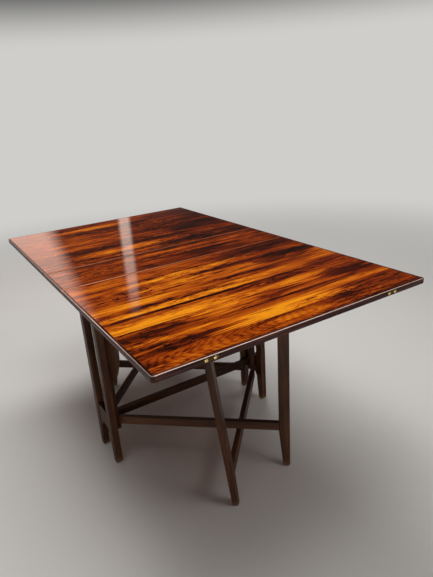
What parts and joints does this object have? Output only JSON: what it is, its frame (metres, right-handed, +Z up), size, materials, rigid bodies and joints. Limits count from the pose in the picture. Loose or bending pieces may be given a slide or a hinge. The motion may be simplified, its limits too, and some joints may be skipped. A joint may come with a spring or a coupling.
{
  "type": "butterfly folding table",
  "caption": "Folding table, open: narrow fixed centre on end frames, a wide hinged leaf each side, held up by crossing gates that swing out on pivot posts.",
  "frame": {"origin": "on the floor under the middle of the top", "axes": "+X along the hinges, +Y towards the far leaf, +Z up"},
  "size_m": [0.88, 1.4914, 0.7251],
  "materials": {
    "veneer": "gloss lacquer",
    "lipping": "gloss lacquer",
    "frame_wood": "satin lacquer",
    "gate_wood": "satin lacquer",
    "brass": "aged"
  },
  "bodies": {
    "frame": {"centre_panel": "veneer", "centre_lipping": "lipping", "near_hinge_frame_plates": "brass", "near_hinge_pins": "brass", "far_hinge_frame_plates": "brass", "far_hinge_pins": "brass", "left_near_post": "frame_wood", "left_far_post": "frame_wood", "right_near_post": "frame_wood", "right_far_post": "frame_wood", "left_cross_rail": "frame_wood", "left_top_bearer": "frame_wood", "left_upper_pivot_block": "frame_wood", "left_near_pivot_block": "frame_wood", "left_far_pivot_block": "frame_wood", "right_cross_rail": "frame_wood", "right_top_bearer": "frame_wood", "right_upper_pivot_block": "frame_wood", "right_near_pivot_block": "frame_wood", "right_far_pivot_block": "frame_wood", "centre_stretcher": "frame_wood", "top_rail": "frame_wood"},
    "near_leaf": {"near_leaf_panel": "veneer", "near_leaf_lipping": "lipping", "near_leaf_rests": "frame_wood", "near_edge_plates": "brass", "near_hinge_leaf_plates": "brass"},
    "far_leaf": {"far_leaf_panel": "veneer", "far_leaf_lipping": "lipping", "far_leaf_rests": "frame_wood", "far_edge_plates": "brass", "far_hinge_leaf_plates": "brass"},
    "near_left_pivot": {"near_left_pivot_post": "gate_wood"},
    "near_left_arm": {"near_left_stretcher": "gate_wood", "near_left_leg": "gate_wood"},
    "near_right_pivot": {"near_right_pivot_post": "gate_wood"},
    "near_right_arm": {"near_right_stretcher": "gate_wood", "near_right_leg": "gate_wood"},
    "far_right_pivot": {"far_right_pivot_post": "gate_wood"},
    "far_right_arm": {"far_right_stretcher": "gate_wood", "far_right_leg": "gate_wood"},
    "far_left_pivot": {"far_left_pivot_post": "gate_wood"},
    "far_left_arm": {"far_left_stretcher": "gate_wood", "far_left_leg": "gate_wood"}
  },
  "joints": [
    {"name": "near_leaf_lift", "type": "hinge", "parent": "frame", "child": "near_leaf", "pos_m": [0, -0.10075, 0.7055], "axis": [-1, 0, 0], "range_deg": [0, 4]},
    {"name": "far_leaf_lift", "type": "hinge", "parent": "frame", "child": "far_leaf", "pos_m": [0, 0.10075, 0.7055], "axis": [1, 0, 0], "range_deg": [0, 4]},
    {"name": "near_left_swing", "type": "hinge", "parent": "frame", "child": "near_left_pivot", "pos_m": [-0.317, -0.032, 0.158], "axis": [0, 0, 1], "range_deg": [0, 38.45]},
    {"name": "near_left_lean", "type": "hinge", "parent": "near_left_pivot", "child": "near_left_arm", "pos_m": [-0.317, -0.032, 0.158], "axis": [0.7524, -0.6587, 0], "range_deg": [0, 5]},
    {"name": "near_right_swing", "type": "hinge", "parent": "frame", "child": "near_right_pivot", "pos_m": [0.317, -0.032, 0.12], "axis": [0, 0, -1], "range_deg": [0, 44.25]},
    {"name": "near_right_lean", "type": "hinge", "parent": "near_right_pivot", "child": "near_right_arm", "pos_m": [0.317, -0.032, 0.12], "axis": [0.682, 0.7314, 0], "range_deg": [0, 6.3]},
    {"name": "far_right_swing", "type": "hinge", "parent": "frame", "child": "far_right_pivot", "pos_m": [0.317, 0.032, 0.12], "axis": [0, 0, 1], "range_deg": [0, 38.45]},
    {"name": "far_right_lean", "type": "hinge", "parent": "far_right_pivot", "child": "far_right_arm", "pos_m": [0.317, 0.032, 0.12], "axis": [-0.7524, 0.6587, 0], "range_deg": [0, 5]},
    {"name": "far_left_swing", "type": "hinge", "parent": "frame", "child": "far_left_pivot", "pos_m": [-0.317, 0.032, 0.158], "axis": [0, 0, -1], "range_deg": [0, 44.25]},
    {"name": "far_left_lean", "type": "hinge", "parent": "far_left_pivot", "child": "far_left_arm", "pos_m": [-0.317, 0.032, 0.158], "axis": [-0.682, -0.7314, 0], "range_deg": [0, 6.3]}
  ],
  "couplings": [
    {"joint": "near_left_lean", "follows": "near_left_swing", "ratio": 0.13004},
    {"joint": "near_right_swing", "follows": "near_left_swing", "ratio": 1.1508},
    {"joint": "near_right_lean", "follows": "near_left_swing", "ratio": 0.16385},
    {"joint": "far_right_lean", "follows": "far_right_swing", "ratio": 0.13004},
    {"joint": "far_left_swing", "follows": "far_right_swing", "ratio": 1.1508},
    {"joint": "far_left_lean", "follows": "far_right_swing", "ratio": 0.16385}
  ]
}
